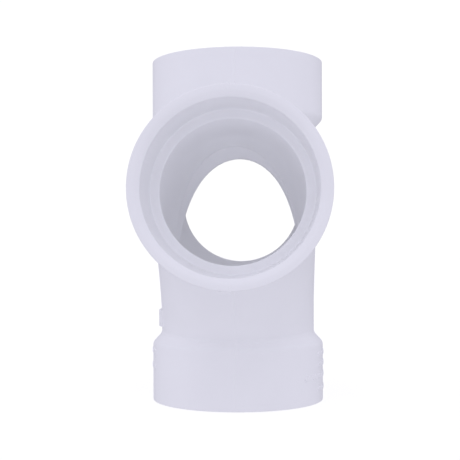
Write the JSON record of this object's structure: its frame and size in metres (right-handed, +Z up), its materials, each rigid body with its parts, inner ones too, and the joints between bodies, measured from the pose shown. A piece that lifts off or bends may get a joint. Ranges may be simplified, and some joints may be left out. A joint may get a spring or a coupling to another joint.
{
  "type": "double sanitary tee pipe fitting",
  "caption": "White plastic drain fitting: a vertical run with socket hubs at both ends and two opposed swept branch hubs at one height, open right through along both axes.",
  "frame": {"origin": "centre of the bottom hub's open face, on the run's axis", "axes": "+Z up along the run, -Y out of the front branch, +Y out of the rear branch, +X to the right when looking into the front branch"},
  "size_m": [0.1024, 0.221, 0.2025],
  "materials": {
    "pvc_white": "satin moulded white, faintly cool"
  },
  "bodies": {
    "root": {"run_junction": "pvc_white", "top_hub": "pvc_white", "bottom_hub": "pvc_white", "front_branch_sweep": "pvc_white", "rear_branch_sweep": "pvc_white", "front_branch_hub": "pvc_white", "rear_branch_hub": "pvc_white"}
  },
  "joints": []
}
